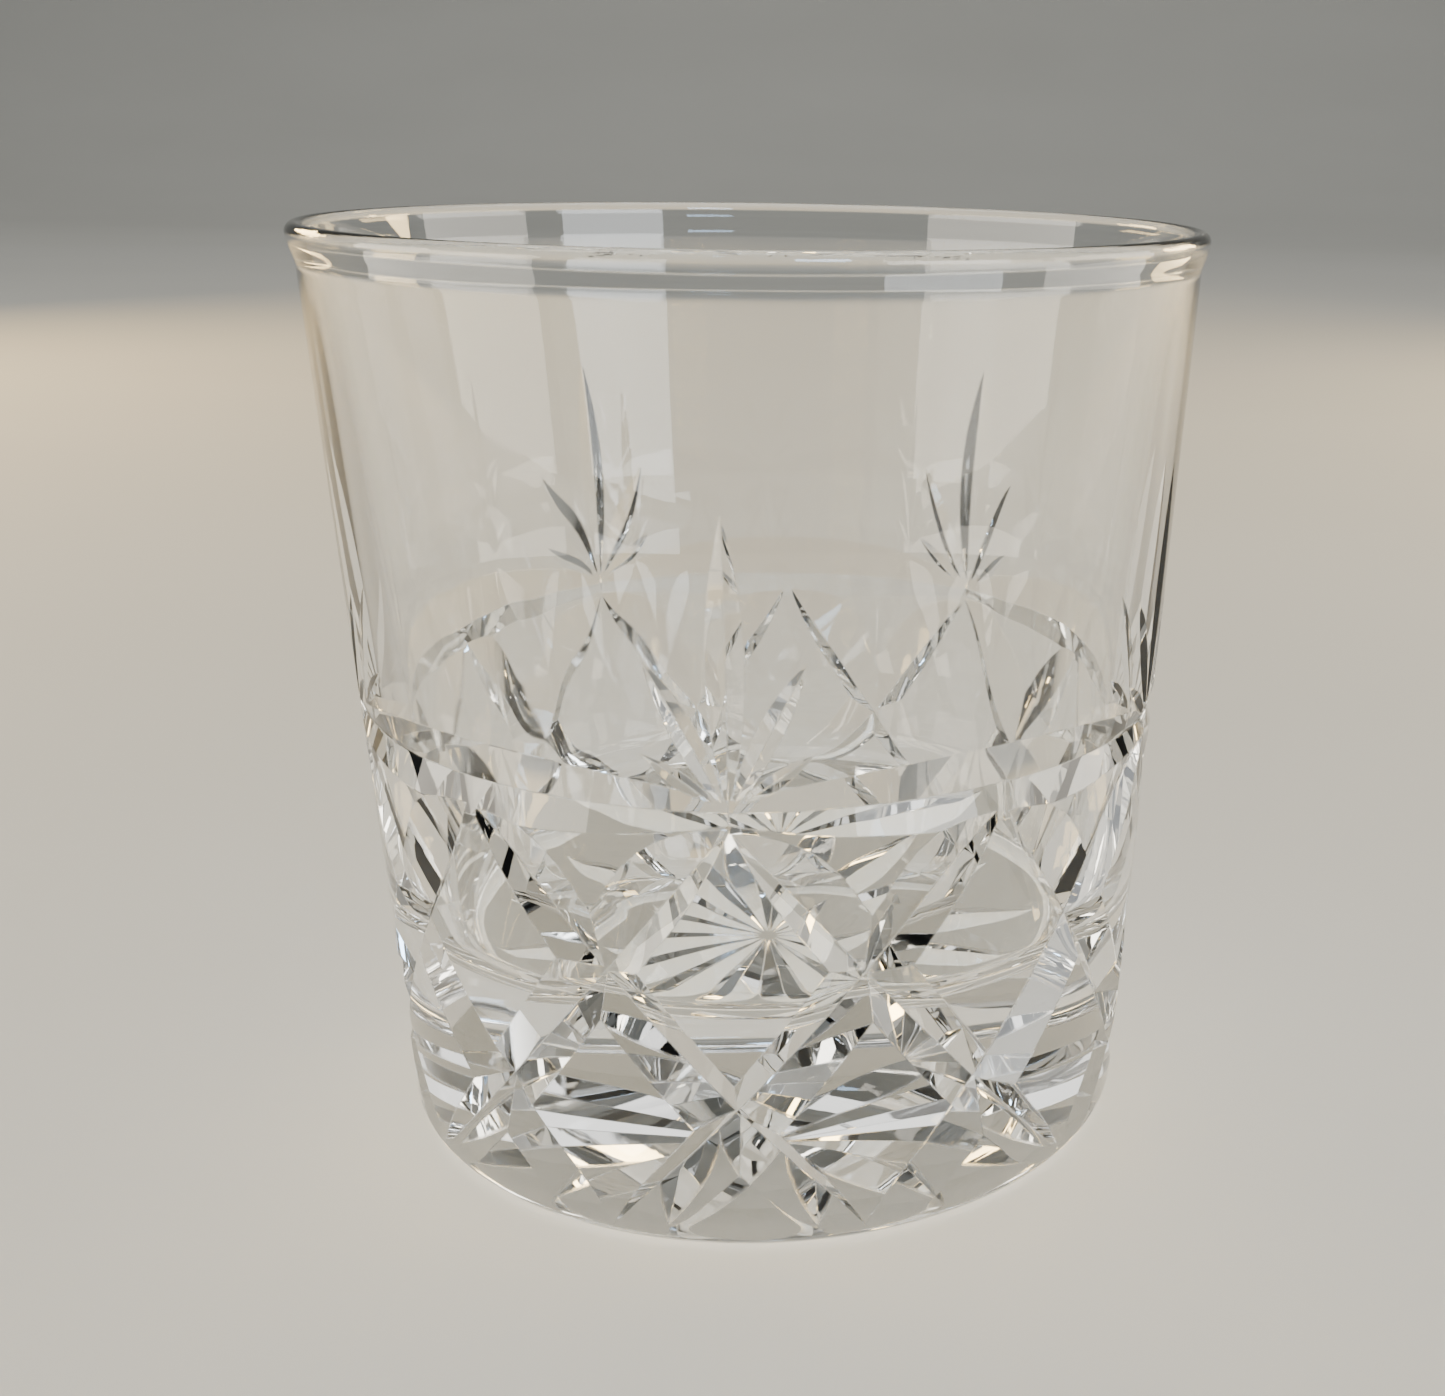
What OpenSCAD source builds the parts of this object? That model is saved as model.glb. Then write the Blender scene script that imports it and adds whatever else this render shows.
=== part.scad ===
// Cut crystal whiskey tumbler: one piece of glass, turned about Z and then cut on a wheel.
// The origin is the middle of the face it stands on. The middle of one fan of rays faces -Y.

/* [Body] */
// Height from the resting face to the top of the lip
height = 87.6; // [80:0.2:96]
// Outside diameter of the straight side, carried down to the resting face
foot_d = 73; // [71:0.2:75]
// Outside diameter of the straight side, carried up to the lip
shoulder_d = 83; // [82:0.5:88]
// Radius of the rounded heel
heel_r = 3; // [3:0.2:3.2]

/* [Lip] */
// Outside diameter of the lip
lip_d = 84; // [82:0.5:85]
// Thickness of the rounded lip
lip_t = 1.8; // [1.4:0.1:2.4]
// Height over which the side flares out to the lip
lip_flare_h = 3; // [2:0.5:5]

/* [Bowl] */
// Height of the bowl's floor, which is the thickness of the base
floor_z = 22; // [19:0.5:24]
// Thickness of the wall at the bowl's floor
wall_foot_t = 4.6; // [4.2:0.1:6]
// Radius between the bowl's floor and its wall
bowl_corner_r = 4; // [3:0.5:8]

/* [Ring cut] */
// Height of the bottom of the ring's V
ring_z = 43.1; // [41:0.1:45]
// Depth of the ring halfway between two fans
ring_depth = 1.25; // [1:0.05:1.4]
// Depth of the ring at the middle of a fan
ring_waist_depth = 0.4; // [0.3:0.05:0.5]
// Half of the angle between the ring's two faces
ring_half_angle = 70; // [66:1:72]

/* [Fans] */
// Number of fans round the glass, with two columns of diamonds to each
fan_count = 5; // [5:5]
// Length of the upright ray
ray_length = 24.5; // [20:0.5:28]
// Length of the next rays, as a share of the upright one
second_ray_share = 0.74; // [0.6:0.02:0.8]
// Length of the outer rays, as a share of the upright one
outer_ray_share = 0.5; // [0.4:0.02:0.6]
// Angle between neighbouring rays
ray_spread = 27; // [24:1:30]
// Greatest depth of the upright ray
ray_depth = 0.95; // [0.7:0.05:1.1]
// Distance from a fan's middle to the start of its rays
ray_start = 0.5; // [0.4:0.1:0.6]

/* [Diamonds] */
// Greatest depth of the cuts that fall to the left
left_cut_depth = 2.15; // [2:0.05:2.3]
// Greatest depth of the cuts that fall to the right
right_cut_depth = 2; // [1.9:0.05:2.2]
// Height of the middle of each cut
cut_middle_z = 19.6; // [19.4:0.1:19.8]
// Slope of each cut at its middle
cut_slope = 49.3; // [49:0.1:49.6]
// Lean of each cut's plane, which bows the cut downwards
cut_lean = 12; // [10:1:14]
// Radius of the long middle stretch of each cut
cut_bow_r = 110; // [106:1:114]
// Half of the angle that the middle stretch spans
cut_half_arc = 9.3; // [9.1:0.1:9.5]
// Radius of the wheel, which shapes both ends of each cut
wheel_r = 55; // [50:1:60]
// Half of the angle between the two faces of a cut
cut_half_angle = 57; // [55:1:59]

/* [Base star] */
// Number of rays under the base
star_rays = 16; // [12:2:18]
// Radius of the star
star_r = 31; // [28:0.5:32]
// Greatest depth of a ray
star_depth = 1.5; // [0.8:0.1:1.6]
// Radius of the small uncut spot at the middle of the star
star_hub_r = 0.8; // [0.6:0.1:1.5]

/* [Hidden] */
$fn = 180;
// Half of the angle between the two faces of a ray, in the fans and under the base
ray_half_angle = 60;
// Rays in one fan, counted across the upright one
ray_count = 5;
// Height of the V that cuts the ring, enough to clear the side of the glass
ring_v_h = 2.2;
// Height of the V that cuts the rays
ray_v_h = 2.4;
// Height of the V that makes the long cuts
cut_v_h = 4;
// Angle that the wheel turns through as it lifts out at the end of a long cut
wheel_exit_angle = 15;
// Angle by which the wheel laps back over the middle stretch
wheel_lap_angle = 4;
// Distance that the wheel dips below the middle stretch where the two meet
wheel_dip = 0.06;
// Small overrun of a cutter past the face that it opens
overrun = 1;
// Angle that brings the first fan from +X to the front
front_angle = -90;
// Angle of one fan round the glass
fan_angle = 360 / fan_count;
// Angle of one column of diamonds
column_angle = fan_angle / 2;
// Angle from the start of a long cut to its middle: it crosses one and a half columns in all
cut_middle_angle = 0.75 * column_angle;
foot_r = foot_d / 2;
shoulder_r = shoulder_d / 2;
side_taper = (shoulder_r - foot_r) / height;
side_angle = atan(side_taper);
// Radius of the small circle at the top of the lip, and where it sits
lip_r = lip_t / 2;
lip_x = lip_d / 2 - lip_r;
lip_z = height - lip_r;
// The bowl's wall runs from the floor's level to the inside of the lip
bowl_foot_r = foot_r + side_taper * floor_z - wall_foot_t;
bowl_taper = (lip_x - lip_r - bowl_foot_r) / (lip_z - floor_z);
bowl_angle = atan(bowl_taper);
// Middle of the circle that rounds the bowl's corner
corner_z = floor_z + bowl_corner_r;
corner_x = bowl_foot_r + bowl_taper * bowl_corner_r - bowl_corner_r / cos(bowl_angle);
// Middle of the circle that rounds the heel, which touches the side and the resting face
heel_x = foot_r + side_taper * heel_r - heel_r / cos(side_angle);

function side_r(z) = foot_r + side_taper * z;

// V of a cut, with its point at the origin and its open end towards +X, turned by lean
module v_shape(half_angle, v_h, lean = 0) {
    half_w = v_h * tan(half_angle);
    rotate(lean)
        polygon([[0, 0], [v_h, -half_w], [v_h, half_w]]);
}

// Outline of the solid glass before the bowl is taken out
module outer_outline() {
    polygon([
        [0, 0],
        [heel_x, 0],
        [heel_x + heel_r * cos(side_angle), heel_r - heel_r * sin(side_angle)],
        [side_r(lip_z - lip_flare_h), lip_z - lip_flare_h],
        [lip_x + lip_r, lip_z],
        [lip_x, height],
        [0, height]
    ]);
    translate([heel_x, heel_r])
        circle(heel_r);
    translate([lip_x, lip_z])
        circle(lip_r);
}

// Outline of the space inside
module bowl_outline() {
    polygon([
        [0, floor_z],
        [corner_x, floor_z],
        [corner_x + bowl_corner_r * cos(bowl_angle), corner_z - bowl_corner_r * sin(bowl_angle)],
        [lip_x - lip_r, lip_z],
        [lip_x - lip_r, height + overrun],
        [0, height + overrun]
    ]);
    translate([corner_x, corner_z])
        circle(bowl_corner_r);
}

// Lip of the glass, a round bead that the bowl doesn't cut
module lip_outline() {
    translate([lip_x, lip_z])
        circle(lip_r);
    translate([lip_x - lip_r, lip_z - lip_flare_h])
        square([lip_r, lip_flare_h]);
}

// The turned blank
module blank() {
    rotate_extrude()
        intersection() {
            difference() {
                outer_outline();
                difference() {
                    bowl_outline();
                    lip_outline();
                }
            }
            square([lip_d, height]);
        }
}

// One of the ring's lens-shaped cuts, about an axis set off from the glass's own
module ring_lens() {
    middle_r = side_r(ring_z) - ring_depth;
    waist_r = side_r(ring_z) - ring_waist_depth;
    offset_x = (middle_r * middle_r - waist_r * waist_r) / (2 * (middle_r - waist_r * cos(column_angle)));
    cut_r = middle_r - offset_x;
    half_arc = asin(waist_r * sin(column_angle) / cut_r);
    translate([offset_x, 0, ring_z])
        rotate([0, 0, -half_arc])
            rotate_extrude(angle = 2 * half_arc)
                translate([cut_r, 0])
                    v_shape(ring_half_angle, ring_v_h);
}

// A straight cut made by plunging the wheel: it starts at the origin and runs along +Z on a face
// that looks along +X
module plunge_cut(length, depth) {
    plunge_r = length * length / (8 * depth) + depth / 2;
    half_arc = 2 * asin(length / 2 / plunge_r);
    translate([plunge_r - depth, 0, length / 2])
        rotate([90, 0, 0])
            rotate([0, 0, 180 - half_arc])
                rotate_extrude(angle = 2 * half_arc)
                    translate([plunge_r, 0])
                        rotate(180)
                            v_shape(ray_half_angle, ray_v_h);
}

// One ray of a fan, in the frame of the fan's middle: ray 0 stands upright
module fan_ray(i) {
    shares = [1, second_ray_share, outer_ray_share];
    share = shares[abs(i)];
    rotate([i * ray_spread, 0, 0])
        translate([0, 0, ray_start])
            plunge_cut(ray_length * share, ray_depth * sqrt(share));
}

// Moves a cut to a height on the side of the glass, with +X out of the glass
module on_side(z) {
    translate([side_r(z), 0, z])
        rotate([0, side_angle, 0])
            children();
}

// One end of a long cut, where the wheel lifts out
module wheel_end(depth) {
    wheel_x = cut_bow_r + wheel_r - wheel_dip;
    translate([-depth - cut_bow_r, 0, 0])
        rotate([0, 0, cut_half_arc])
            translate([wheel_x, 0, 0])
                rotate([0, 0, 180 - wheel_exit_angle])
                    rotate_extrude(angle = wheel_exit_angle + wheel_lap_angle)
                        translate([wheel_r, 0])
                            rotate(180)
                                v_shape(cut_half_angle, cut_v_h, -cut_lean);
}

// The long middle stretch of a cut
module cut_bow(depth) {
    translate([-depth - cut_bow_r, 0, 0])
        rotate([0, 0, -cut_half_arc])
            rotate_extrude(angle = 2 * cut_half_arc)
                translate([cut_bow_r, 0])
                    v_shape(cut_half_angle, cut_v_h, cut_lean);
}

// Puts a stretch of a long cut in its place: the cut falls to the right of its upper end
module along_cut() {
    rotate([0, 0, cut_middle_angle])
        on_side(cut_middle_z)
            rotate([-cut_slope, 0, 0])
                rotate([0, cut_lean, 0])
                    children();
}

// Copies of a cut round the glass
module round_glass(count, first_angle = 0) {
    for (i = [0 : count - 1])
        rotate([0, 0, i * 360 / count + first_angle + front_angle])
            children();
}

// One ray of the star under the base
module star_ray(i) {
    rotate([0, 0, (i + 0.5) * 360 / star_rays])
        translate([star_hub_r, 0, 0])
            rotate([0, 90, 0])
                plunge_cut(star_r - star_hub_r, star_depth);
}

// The blank with its ring
module ringed_glass() {
    difference() {
        blank();
        round_glass(fan_count, column_angle)
            ring_lens();
    }
}

// The glass after the first rays of all its fans
module fanned_glass(rays) {
    if (rays == 0)
        ringed_glass();
    else
        difference() {
            fanned_glass(rays - 1);
            round_glass(fan_count)
                on_side(ring_z)
                    fan_ray(rays - (ray_count + 1) / 2);
        }
}

// The glass after the middle stretches of its long cuts, which the rest of each cut then lengthens
module bowed_glass() {
    difference() {
        difference() {
            fanned_glass(ray_count);
            round_glass(2 * fan_count)
                along_cut()
                    cut_bow(right_cut_depth);
        }
        round_glass(2 * fan_count)
            mirror([0, 1, 0])
                along_cut()
                    cut_bow(left_cut_depth);
    }
}

// The glass after the lower ends of its long cuts
module footed_glass() {
    difference() {
        difference() {
            bowed_glass();
            round_glass(2 * fan_count)
                along_cut()
                    wheel_end(right_cut_depth);
        }
        round_glass(2 * fan_count)
            mirror([0, 1, 0])
                along_cut()
                    wheel_end(left_cut_depth);
    }
}

// The glass after the upper ends of its long cuts
module diamond_glass() {
    difference() {
        difference() {
            footed_glass();
            round_glass(2 * fan_count)
                along_cut()
                    mirror([0, 1, 0])
                        wheel_end(right_cut_depth);
        }
        round_glass(2 * fan_count)
            mirror([0, 1, 0])
                along_cut()
                    mirror([0, 1, 0])
                        wheel_end(left_cut_depth);
    }
}

// The glass after the first rays of its star, taken in opposite pairs
module star_glass(pairs) {
    if (pairs == 0)
        diamond_glass();
    else
        difference() {
            star_glass(pairs - 1);
            star_ray(pairs);
            star_ray(pairs + star_rays / 2);
        }
}

module tumbler() {
    color("whitesmoke", 0.6)
        star_glass(star_rays / 2);
}

tumbler();
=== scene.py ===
"""Cut crystal whiskey tumbler, standing on a pale floor.

The glass is turned and cut again here with the wheels that the CAD part uses, on a finer mesh.
All shaping is done in millimetres in the part's own frame, and the finished mesh goes to metres."""

import math
import random

import bmesh
import bpy
from mathutils import Matrix, Vector


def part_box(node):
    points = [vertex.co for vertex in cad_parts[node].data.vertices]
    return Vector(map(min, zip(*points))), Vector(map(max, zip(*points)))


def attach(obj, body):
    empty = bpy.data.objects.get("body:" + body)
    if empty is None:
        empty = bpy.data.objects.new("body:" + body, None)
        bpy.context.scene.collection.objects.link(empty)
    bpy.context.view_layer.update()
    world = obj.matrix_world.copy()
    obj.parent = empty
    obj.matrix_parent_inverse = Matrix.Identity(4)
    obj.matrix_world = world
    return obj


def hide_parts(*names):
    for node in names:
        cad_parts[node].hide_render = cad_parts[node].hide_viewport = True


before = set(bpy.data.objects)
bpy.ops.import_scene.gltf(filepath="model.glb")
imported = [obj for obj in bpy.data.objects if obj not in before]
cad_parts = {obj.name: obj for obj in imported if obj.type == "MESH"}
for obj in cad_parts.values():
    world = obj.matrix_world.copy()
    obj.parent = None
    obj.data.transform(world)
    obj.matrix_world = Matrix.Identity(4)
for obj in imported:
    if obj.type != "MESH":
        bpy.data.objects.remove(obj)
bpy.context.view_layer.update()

# ---------------------------------------------------------------- sizes of the glass, in mm
MM = 0.001
LOW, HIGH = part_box("tumbler")
HEIGHT = (HIGH[2] - LOW[2]) / MM
LIP_R = (HIGH[1] - LOW[1]) / 2 / MM
FOOT_R = 36.5
SHOULDER_R = 41.5
HEEL_R = 3.0
LIP_T = 1.8
LIP_FLARE_H = 3.0
FLOOR_Z = 22.0
WALL_FOOT_T = 4.6
BOWL_CORNER_R = 4.0

RING_Z = 43.1
RING_DEPTH = 1.25
RING_WAIST_DEPTH = 0.4
RING_HALF_ANGLE = math.radians(70)

FAN_COUNT = 5
RAY_LENGTH = 24.5
RAY_SHARES = (0.5, 0.74, 1.0, 0.74, 0.5)
RAY_SPREAD = math.radians(27)
RAY_DEPTH = 0.95
RAY_START = 0.5
RAY_HALF_ANGLE = math.radians(60)

LONG_CUT_DEPTHS = {"right": 2.0, "left": 2.15}
CUT_MIDDLE_Z = 19.6
CUT_MIDDLE_SHARE = 0.75
CUT_SLOPE = math.radians(49.3)
CUT_LEAN = math.radians(12)
CUT_BOW_R = 110.0
CUT_HALF_ARC = math.radians(9.3)
WHEEL_R = 55.0
CUT_HALF_ANGLE = math.radians(57)
WHEEL_EXIT_ANGLE = math.radians(15)
WHEEL_LAP_ANGLE = math.radians(4)
WHEEL_DIP = 0.06

STAR_RAYS = 16
STAR_R = 31.0
STAR_DEPTH = 1.5
STAR_HUB_R = 0.8

FAN_ANGLE = 2 * math.pi / FAN_COUNT
COLUMN_ANGLE = FAN_ANGLE / 2
FRONT_ANGLE = -math.pi / 2
SIDE_TAPER = (SHOULDER_R - FOOT_R) / HEIGHT
SIDE_ANGLE = math.atan(SIDE_TAPER)
LIP_SMALL_R = LIP_T / 2
LIP_X = LIP_R - LIP_SMALL_R
LIP_Z = HEIGHT - LIP_SMALL_R
BOWL_FOOT_R = FOOT_R + SIDE_TAPER * FLOOR_Z - WALL_FOOT_T
BOWL_TAPER = (LIP_X - LIP_SMALL_R - BOWL_FOOT_R) / (LIP_Z - FLOOR_Z)
BOWL_ANGLE = math.atan(BOWL_TAPER)
CORNER_Z = FLOOR_Z + BOWL_CORNER_R
CORNER_X = BOWL_FOOT_R + BOWL_TAPER * BOWL_CORNER_R - BOWL_CORNER_R / math.cos(BOWL_ANGLE)
HEEL_X = FOOT_R + SIDE_TAPER * HEEL_R - HEEL_R / math.cos(SIDE_ANGLE)

# Fineness of the mesh
TURNED_STEPS = 480
HEEL_STEPS = 10
FLARE_STEPS = 8
LIP_STEPS = 16
CORNER_STEPS = 18
UNDER_STEPS = 12
FLOOR_STEPS = 10
ROW_H = 3.0
CUTTER_STEP = 0.7
RING_V_H = 2.2
RAY_V_H = 2.4
CUT_V_H = 4.0
SHARP_ANGLE = math.radians(9)
EDGE_R = 0.2
WORN_H = 0.25

# Crystal: its colour and index, the smudges' scale and roughness, and the roughness of the resting land
CRYSTAL_COLOUR = (0.985, 0.99, 0.985, 1)
CRYSTAL_IOR = 1.54
SMUDGE_SCALE = 70
SMUDGE_ROUGHNESS = 0.06
WORN_ROUGHNESS = 0.22

# Striae: number of waves added up, waves round the glass, greatest slope and each wave's share of it,
# drift with height and fading height
STRIA_SEED = 7
STRIA_WAVES = 14
STRIA_COUNTS = (9, 64)
STRIA_SLOPE = 0.0025
STRIA_STRENGTHS = (0.3, 1.0)
STRIA_DRIFT = 0.03
STRIA_FADE = 8.0

# ---------------------------------------------------------------- camera
CAMERA_PLACE = Vector((0.01412, -0.17901, 0.09645))
CAMERA_TURN = math.radians(1.158)
CAMERA_DIP = math.radians(18.548)
CAMERA_ROLL = math.radians(1.028)
CAMERA_LENS = 45.99
CAMERA_SHIFT = (-0.1497, 0.0316)
SENSOR_WIDTH = 36.0


def make_camera():
    """Camera a little above the lip, looking down at the front fan, with a shift that frames the glass."""
    ahead = Vector((math.sin(CAMERA_TURN) * math.cos(CAMERA_DIP),
                    math.cos(CAMERA_TURN) * math.cos(CAMERA_DIP),
                    -math.sin(CAMERA_DIP)))
    level = Vector((math.cos(CAMERA_TURN), -math.sin(CAMERA_TURN), 0))
    upright = level.cross(ahead)
    right = math.cos(CAMERA_ROLL) * level + math.sin(CAMERA_ROLL) * upright
    up = math.cos(CAMERA_ROLL) * upright - math.sin(CAMERA_ROLL) * level
    data = bpy.data.cameras.new("camera")
    data.lens = CAMERA_LENS
    data.sensor_fit = "HORIZONTAL"
    data.sensor_width = SENSOR_WIDTH
    data.shift_x, data.shift_y = CAMERA_SHIFT
    data.clip_start = 0.01
    camera = bpy.data.objects.new("camera", data)
    turn = Matrix((right, up, -ahead)).transposed().to_4x4()
    camera.matrix_world = Matrix.Translation(CAMERA_PLACE) @ turn
    bpy.context.scene.collection.objects.link(camera)
    bpy.context.scene.camera = camera


# ---------------------------------------------------------------- meshes
def new_object(name, verts, faces):
    mesh = bpy.data.meshes.new(name)
    mesh.from_pydata(verts, [], faces)
    mesh.validate()
    piece = bpy.data.objects.new(name, mesh)
    bpy.context.scene.collection.objects.link(piece)
    return piece


def arc_points(x, z, radius, start, end, steps):
    """Points of an arc in the turning plane, from one angle to the other."""
    angles = [start + (end - start) * i / steps for i in range(steps + 1)]
    return [(x + radius * math.cos(a), z + radius * math.sin(a)) for a in angles]


def line_points(start, end, steps):
    """Points along a line, with neither of its ends."""
    return [tuple(s + (e - s) * i / steps for s, e in zip(start, end)) for i in range(1, steps)]


def outline():
    """Outline of the glass, from the middle of its underside round to the middle of the bowl's floor."""
    heel = arc_points(HEEL_X, HEEL_R, HEEL_R, -math.pi / 2, -SIDE_ANGLE, HEEL_STEPS)
    flare_start = (FOOT_R + SIDE_TAPER * (LIP_Z - LIP_FLARE_H), LIP_Z - LIP_FLARE_H)
    flare_end = (LIP_R, LIP_Z)
    flare = [flare_start] + eased_points(flare_start, flare_end, FLARE_STEPS)
    lip = arc_points(LIP_X, LIP_Z, LIP_SMALL_R, 0, math.pi, LIP_STEPS)
    corner = arc_points(CORNER_X, CORNER_Z, BOWL_CORNER_R, -BOWL_ANGLE, -math.pi / 2, CORNER_STEPS)
    side_rows = round((flare_start[1] - heel[-1][1]) / ROW_H)
    bowl_rows = round((LIP_Z - corner[0][1]) / ROW_H)
    under = line_points((0, 0), heel[0], UNDER_STEPS)
    side = line_points(heel[-1], flare_start, side_rows)
    bowl = line_points(lip[-1], corner[0], bowl_rows)
    floor = line_points(corner[-1], (0, FLOOR_Z), FLOOR_STEPS)
    return under + heel + side + flare + lip + bowl + corner + floor


def eased_points(start, end, steps):
    """Points on a smooth curve that leaves the straight side gently, with neither end."""
    points = []
    for i in range(1, steps):
        share = i / steps
        points.append((start[0] + (end[0] - start[0]) * share * share * (3 - 2 * share),
                       start[1] + (end[1] - start[1]) * share))
    return points


def make_striae(rng):
    """Fine upright waves left by blowing: (waves round the glass, slope, phase, drift with height)."""
    return [(rng.randint(*STRIA_COUNTS), rng.uniform(*STRIA_STRENGTHS) * STRIA_SLOPE,
             rng.uniform(0, 2 * math.pi), rng.uniform(-STRIA_DRIFT, STRIA_DRIFT))
            for _ in range(STRIA_WAVES)]


def stria_depth(striae, angle, x, z):
    """How far the wall's surface moves in or out at one place, fading out at the lip and the corner."""
    below_lip = min(1, max(0, (LIP_Z - LIP_FLARE_H - z) / STRIA_FADE))
    above_corner = min(1, max(0, (z - CORNER_Z) / STRIA_FADE))
    fade = below_lip * above_corner
    return fade * sum(slope * x / count * math.cos(count * angle + phase + drift * z)
                      for count, slope, phase, drift in striae)


def turned_blank():
    """The solid of revolution that the cuts are made in, with faint striae in both faces of its wall."""
    points = outline()
    rng = random.Random(STRIA_SEED)
    outer_striae, inner_striae = make_striae(rng), make_striae(rng)
    verts = [(0, 0, 0), (0, 0, FLOOR_Z)]
    outside = True
    for x, z in points:
        outside = outside and z < LIP_Z
        striae = outer_striae if outside else inner_striae
        for i in range(TURNED_STEPS):
            angle = 2 * math.pi * i / TURNED_STEPS
            r = x + stria_depth(striae, angle, x, z)
            verts.append((r * math.cos(angle), r * math.sin(angle), z))
    faces = []
    last = 2 + (len(points) - 1) * TURNED_STEPS
    for i in range(TURNED_STEPS):
        j = (i + 1) % TURNED_STEPS
        faces.append((0, 2 + j, 2 + i))
        faces.append((1, last + i, last + j))
        for row in range(len(points) - 1):
            a = 2 + row * TURNED_STEPS
            b = a + TURNED_STEPS
            faces.append((a + i, a + j, b + j, b + i))
    return new_object("tumbler_glass", verts, faces)


def v_section(half_angle, height, lean, inward):
    """V of a wheel as (radial, along the axis) offsets, with its point at the origin."""
    half_w = height * math.tan(half_angle)
    side = -1 if inward else 1
    turned = []
    for x, y in ((0, 0), (height, -half_w), (height, half_w)):
        x *= side
        turned.append((x * math.cos(lean) - y * math.sin(lean), x * math.sin(lean) + y * math.cos(lean)))
    if inward:
        turned.reverse()
    return turned


def swept_v(radius, section, start, end, place):
    """A V section swept round the Z axis from one angle to another, then moved to its place."""
    steps = max(6, math.ceil(radius * abs(end - start) / CUTTER_STEP))
    verts, faces = [], []
    for i in range(steps + 1):
        angle = start + (end - start) * i / steps
        for x, y in section:
            r = radius + x
            verts.append(place @ Vector((r * math.cos(angle), r * math.sin(angle), y)))
    for i in range(steps):
        for k in range(3):
            a, b = 3 * i + k, 3 * i + (k + 1) % 3
            faces.append((a, b, b + 3, a + 3))
    faces.append((2, 1, 0))
    faces.append((3 * steps, 3 * steps + 1, 3 * steps + 2))
    return verts, faces


def turn(angle, axis):
    return Matrix.Rotation(angle, 4, axis)


def move(x, y, z):
    return Matrix.Translation((x, y, z))


def side_r(z):
    return FOOT_R + SIDE_TAPER * z


def on_side(z):
    """Frame on the side of the glass at a height, with +X out of the glass."""
    return move(side_r(z), 0, z) @ turn(SIDE_ANGLE, "Y")


def ring_lens(place):
    """One of the ring's lens-shaped cuts, about an axis set off from the glass's own."""
    middle_r = side_r(RING_Z) - RING_DEPTH
    waist_r = side_r(RING_Z) - RING_WAIST_DEPTH
    offset_x = (middle_r ** 2 - waist_r ** 2) / (2 * (middle_r - waist_r * math.cos(COLUMN_ANGLE)))
    cut_r = middle_r - offset_x
    half_arc = math.asin(waist_r * math.sin(COLUMN_ANGLE) / cut_r)
    section = v_section(RING_HALF_ANGLE, RING_V_H, 0, False)
    return [swept_v(cut_r, section, -half_arc, half_arc, place @ move(offset_x, 0, RING_Z))]


def plunge_cut(length, depth, place):
    """A straight cut made by plunging the wheel into a face that looks along +X."""
    plunge_r = length ** 2 / (8 * depth) + depth / 2
    half_arc = 2 * math.asin(length / 2 / plunge_r)
    section = v_section(RAY_HALF_ANGLE, RAY_V_H, 0, True)
    wheel = place @ move(plunge_r - depth, 0, length / 2) @ turn(math.pi / 2, "X")
    return swept_v(plunge_r, section, math.pi - half_arc, math.pi + half_arc, wheel)


def fan(place):
    """Five rays that spread up from one point of the ring."""
    cuts = []
    for i, share in enumerate(RAY_SHARES):
        lean = (i - len(RAY_SHARES) // 2) * RAY_SPREAD
        depth = RAY_DEPTH * math.sqrt(share)
        ray = place @ on_side(RING_Z) @ turn(lean, "X") @ move(0, 0, RAY_START)
        cuts.append(plunge_cut(RAY_LENGTH * share, depth, ray))
    return cuts


def long_cut(depth, place):
    """A long cut across the diamonds: a slightly bowed middle with a wheel's lift at each end."""
    middle = (place @ turn(CUT_MIDDLE_SHARE * COLUMN_ANGLE, "Z") @ on_side(CUT_MIDDLE_Z)
              @ turn(-CUT_SLOPE, "X") @ turn(CUT_LEAN, "Y") @ move(-depth - CUT_BOW_R, 0, 0))
    bow_section = v_section(CUT_HALF_ANGLE, CUT_V_H, CUT_LEAN, False)
    bow = swept_v(CUT_BOW_R, bow_section, -CUT_HALF_ARC, CUT_HALF_ARC, middle)
    cuts = [bow]
    for side in (1, -1):
        lift = middle @ turn(side * CUT_HALF_ARC, "Z") @ move(CUT_BOW_R + WHEEL_R - WHEEL_DIP, 0, 0)
        first = math.pi - side * WHEEL_EXIT_ANGLE
        second = math.pi + side * WHEEL_LAP_ANGLE
        section = v_section(CUT_HALF_ANGLE, CUT_V_H, -CUT_LEAN, True)
        cuts.append(swept_v(WHEEL_R, section, min(first, second), max(first, second), lift))
    return cuts


def star_ray(index):
    column = turn((index + 0.5) * 2 * math.pi / STAR_RAYS, "Z")
    place = column @ move(STAR_HUB_R, 0, 0) @ turn(math.pi / 2, "Y")
    return [plunge_cut(STAR_R - STAR_HUB_R, STAR_DEPTH, place)]


def all_cuts():
    """Every cut, in the order that the wheels make them."""
    cuts = []
    for i in range(FAN_COUNT):
        cuts += ring_lens(turn(i * FAN_ANGLE + COLUMN_ANGLE + FRONT_ANGLE, "Z"))
    for i in range(FAN_COUNT):
        cuts += fan(turn(i * FAN_ANGLE + FRONT_ANGLE, "Z"))
    mirror_y = Matrix.Diagonal((1, -1, 1, 1))
    for i in range(2 * FAN_COUNT):
        column = turn(i * COLUMN_ANGLE + FRONT_ANGLE, "Z")
        cuts += long_cut(LONG_CUT_DEPTHS["right"], column)
        cuts += long_cut(LONG_CUT_DEPTHS["left"], column @ mirror_y)
    for i in range(STAR_RAYS):
        cuts += star_ray(i)
    return cuts


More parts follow.
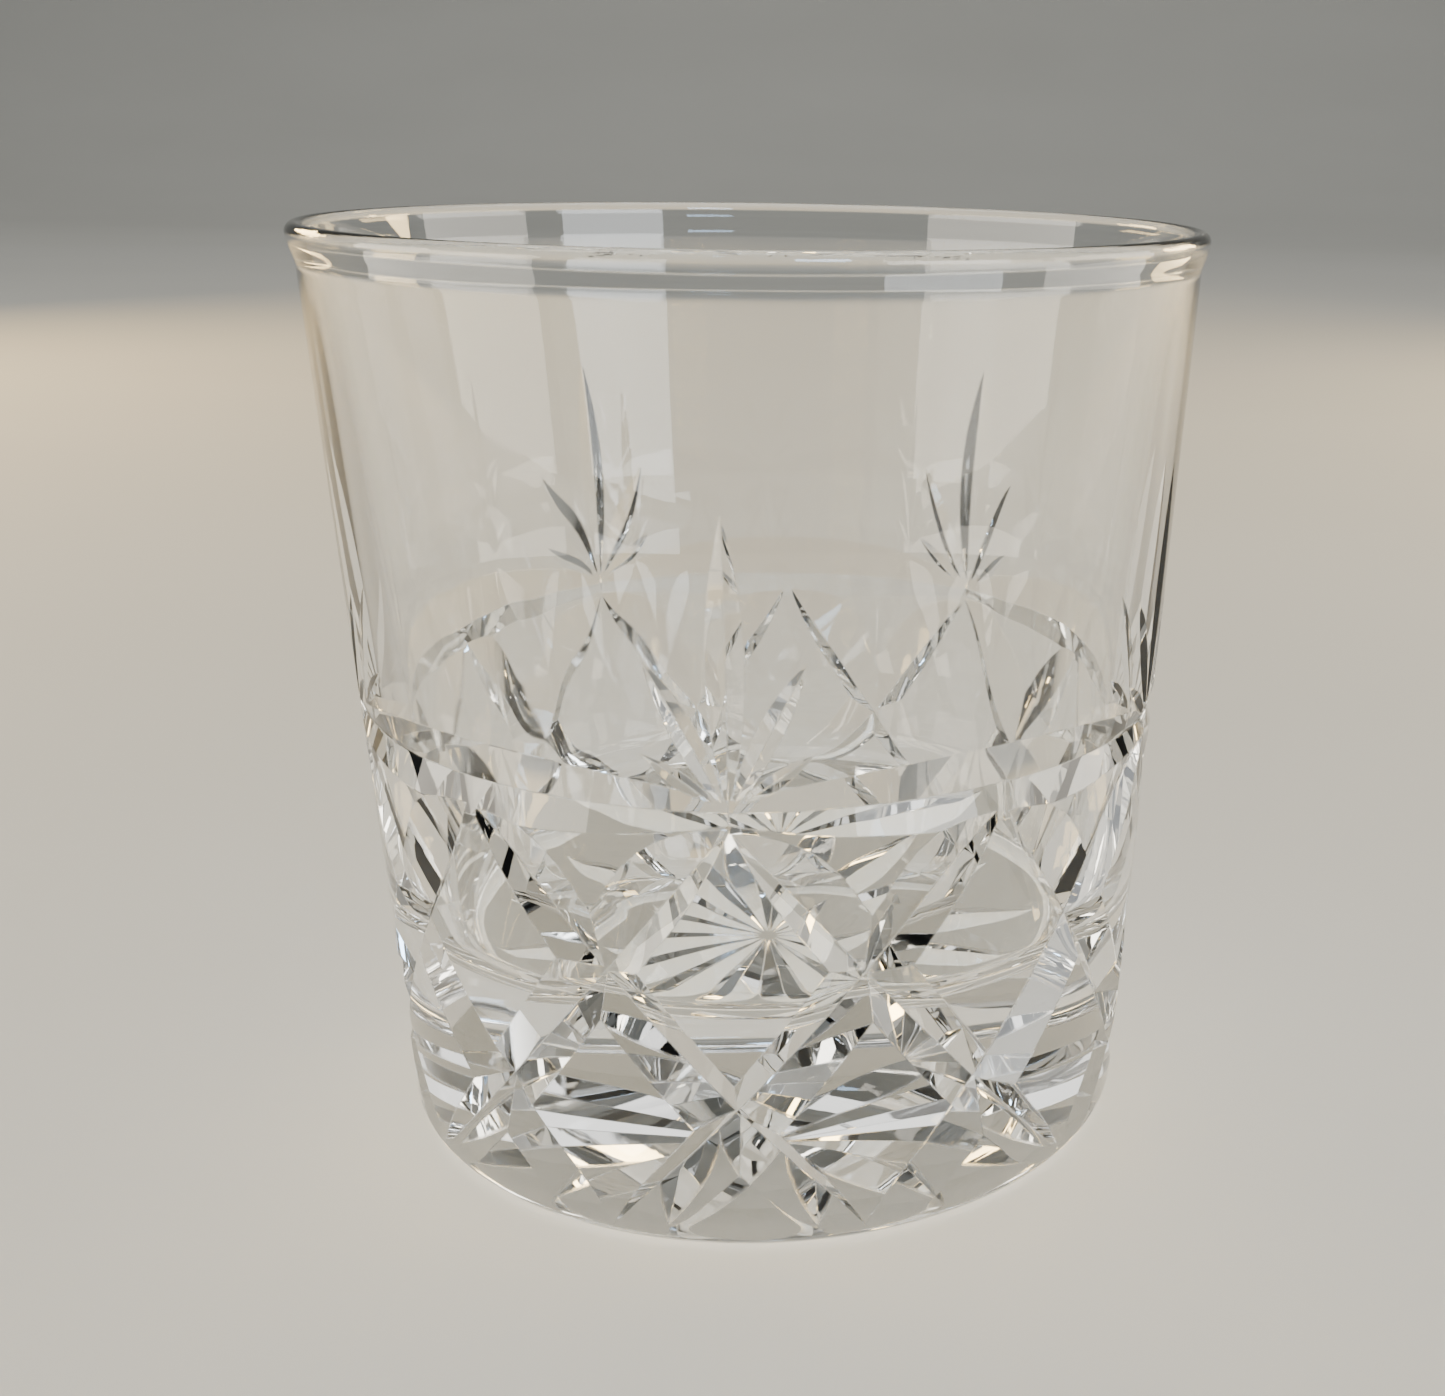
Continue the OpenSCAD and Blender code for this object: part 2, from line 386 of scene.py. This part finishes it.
def outward(piece):
    """Turns a closed mesh's faces to look outwards."""
    shape = bmesh.new()
    shape.from_mesh(piece.data)
    bmesh.ops.recalc_face_normals(shape, faces=shape.faces)
    if shape.calc_volume(signed=True) < 0:
        bmesh.ops.reverse_faces(shape, faces=shape.faces)
    shape.to_mesh(piece.data)
    shape.free()


def cut_glass():
    """The turned blank with every cut taken out of it, in metres."""
    glass = turned_blank()
    outward(glass)
    wheels = []
    for i, (verts, faces) in enumerate(all_cuts()):
        wheel = new_object(f"wheel_{i}", verts, faces)
        outward(wheel)
        wheels.append(wheel)
        step = glass.modifiers.new(f"cut_{i}", "BOOLEAN")
        step.operation = "DIFFERENCE"
        step.solver = "MANIFOLD"
        step.object = wheel
    view = bpy.context.evaluated_depsgraph_get()
    mesh = bpy.data.meshes.new_from_object(glass.evaluated_get(view), depsgraph=view)
    glass.modifiers.clear()
    glass.data = mesh
    for wheel in wheels:
        bpy.data.objects.remove(wheel)
    mesh.transform(Matrix.Scale(MM, 4))
    mesh.shade_smooth()
    mesh.set_sharp_from_angle(angle=SHARP_ANGLE)
    return glass


# ---------------------------------------------------------------- materials
def node_tree(name):
    material = bpy.data.materials.new(name)
    material.use_nodes = True
    nodes, links = material.node_tree.nodes, material.node_tree.links
    return material, nodes, links, nodes["Principled BSDF"]


def crystal():
    """Clear polished crystal with softened edges, faint smudges and a worn resting land."""
    material, nodes, links, shader = node_tree("crystal")
    shader.inputs["Base Color"].default_value = CRYSTAL_COLOUR
    shader.inputs["Transmission Weight"].default_value = 1.0
    shader.inputs["IOR"].default_value = CRYSTAL_IOR
    place = nodes.new("ShaderNodeTexCoord")
    smudge = nodes.new("ShaderNodeTexNoise")
    smudge.inputs["Scale"].default_value = SMUDGE_SCALE
    smudge.inputs["Detail"].default_value = 6
    links.new(place.outputs["Object"], smudge.inputs["Vector"])
    haze = map_range(nodes, links, smudge.outputs["Fac"], (0.55, 0.8), (0.0, SMUDGE_ROUGHNESS))
    height = nodes.new("ShaderNodeSeparateXYZ")
    links.new(place.outputs["Object"], height.inputs["Vector"])
    worn = map_range(nodes, links, height.outputs["Z"], (0.0, WORN_H * MM), (WORN_ROUGHNESS, 0.0))
    rough = nodes.new("ShaderNodeMath")
    rough.operation = "MAXIMUM"
    links.new(haze, rough.inputs[0])
    links.new(worn, rough.inputs[1])
    links.new(rough.outputs["Value"], shader.inputs["Roughness"])
    edge = nodes.new("ShaderNodeBevel")
    edge.samples = 4
    edge.inputs["Radius"].default_value = EDGE_R * MM
    links.new(edge.outputs["Normal"], shader.inputs["Normal"])
    let_through_shadow(nodes, links, shader)
    return material


def map_range(nodes, links, value, given, wanted):
    """Maps one range of a value on to another, clamped, and returns the output."""
    node = nodes.new("ShaderNodeMapRange")
    node.inputs["From Min"].default_value, node.inputs["From Max"].default_value = given
    node.inputs["To Min"].default_value, node.inputs["To Max"].default_value = wanted
    links.new(value, node.inputs["Value"])
    return node.outputs["Result"]


def let_through_shadow(nodes, links, shader):
    """Lets lamp light pass straight through the glass, so that its shadow stays pale."""
    path = nodes.new("ShaderNodeLightPath")
    clear = nodes.new("ShaderNodeBsdfTransparent")
    clear.inputs["Color"].default_value = (0.9, 0.9, 0.89, 1)
    choice = nodes.new("ShaderNodeMixShader")
    links.new(path.outputs["Is Shadow Ray"], choice.inputs["Fac"])
    links.new(shader.outputs["BSDF"], choice.inputs[1])
    links.new(clear.outputs["BSDF"], choice.inputs[2])
    links.new(choice.outputs["Shader"], nodes["Material Output"].inputs["Surface"])


def floor_paper():
    """Pale matt paper with a faint mottle."""
    material, nodes, links, shader = node_tree("floor_paper")
    shader.inputs["Roughness"].default_value = 0.8
    noise = nodes.new("ShaderNodeTexNoise")
    noise.inputs["Scale"].default_value = 30
    ramp = nodes.new("ShaderNodeValToRGB")
    ramp.color_ramp.elements[0].color = (0.55, 0.545, 0.51, 1)
    ramp.color_ramp.elements[1].color = (0.61, 0.605, 0.57, 1)
    links.new(noise.outputs["Fac"], ramp.inputs["Fac"])
    links.new(ramp.outputs["Color"], shader.inputs["Base Color"])
    return material


# ---------------------------------------------------------------- studio
def make_floor():
    """A flat floor that sweeps up into a plain wall far behind the glass."""
    half_w, front, back, sweep_r, wall_h = 4.0, -3.0, 1.6, 1.2, 4.0
    rise = arc_points(back, sweep_r, sweep_r, -math.pi / 2, 0, 24)
    profile = [(front, 0)] + rise + [(back + sweep_r, wall_h)]
    verts = [(side * half_w, y, z) for y, z in profile for side in (-1, 1)]
    faces = [(2 * i, 2 * i + 1, 2 * i + 3, 2 * i + 2) for i in range(len(profile) - 1)]
    floor = new_object("floor", verts, faces)
    floor.data.shade_smooth()
    floor.data.materials.append(floor_paper())


# Name, azimuth, distance, height of its middle, size, radiance and colour of each light
LIGHTS = (
    ("overhead", 180, 0.5, 2.4, (2.4, 2.4), 1.7, (1.0, 0.99, 0.97)),
    ("window", 49, 0.9, 0.19, (0.5, 0.36), 8.0, (0.95, 0.98, 1.0)),
    ("left_card", -75, 0.9, 0.19, (0.9, 0.4), 6.5, (1.0, 0.93, 0.8)),
    ("right_card", 95, 0.9, 0.19, (0.6, 0.4), 6.0, (1.0, 0.94, 0.83)),
    ("gold_left", -135, 0.8, 0.3, (0.3, 0.14), 30.0, (1.0, 0.7, 0.3)),
    ("gold_right", 130, 0.8, 0.22, (0.28, 0.16), 30.0, (1.0, 0.73, 0.35)),
    ("blue_card", 20, 0.8, 0.6, (0.2, 0.2), 30.0, (0.5, 0.72, 1.0)),
)
WORLD_COLOUR = (0.13, 0.135, 0.13, 1)
AIM = Vector((0, 0, 0.04))
MAX_BOUNCES = 32
GLASS_BOUNCES = 24


def soft_light(name, azimuth, distance, middle_h, size, radiance, colour):
    """A rectangular soft light, placed by its azimuth from the front and facing the glass."""
    data = bpy.data.lights.new(name, "AREA")
    data.shape = "RECTANGLE"
    data.size, data.size_y = size
    data.energy = radiance * math.pi * size[0] * size[1]
    data.color = colour
    lamp = bpy.data.objects.new(name, data)
    angle = math.radians(azimuth)
    lamp.location = (distance * math.sin(angle), -distance * math.cos(angle), middle_h)
    aim = AIM - lamp.location
    lamp.rotation_euler = aim.to_track_quat("-Z", "Y").to_euler()
    bpy.context.scene.collection.objects.link(lamp)


def make_lights():
    for row in LIGHTS:
        soft_light(*row)
    world = bpy.data.worlds.new("studio")
    world.use_nodes = True
    world.node_tree.nodes["Background"].inputs["Color"].default_value = WORLD_COLOUR
    bpy.context.scene.world = world


make_camera()
glass = cut_glass()
glass.data.materials.clear()
glass.data.materials.append(crystal())
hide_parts("tumbler")
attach(glass, "root")
make_floor()
make_lights()
bpy.context.scene.cycles.max_bounces = MAX_BOUNCES
bpy.context.scene.cycles.transmission_bounces = GLASS_BOUNCES
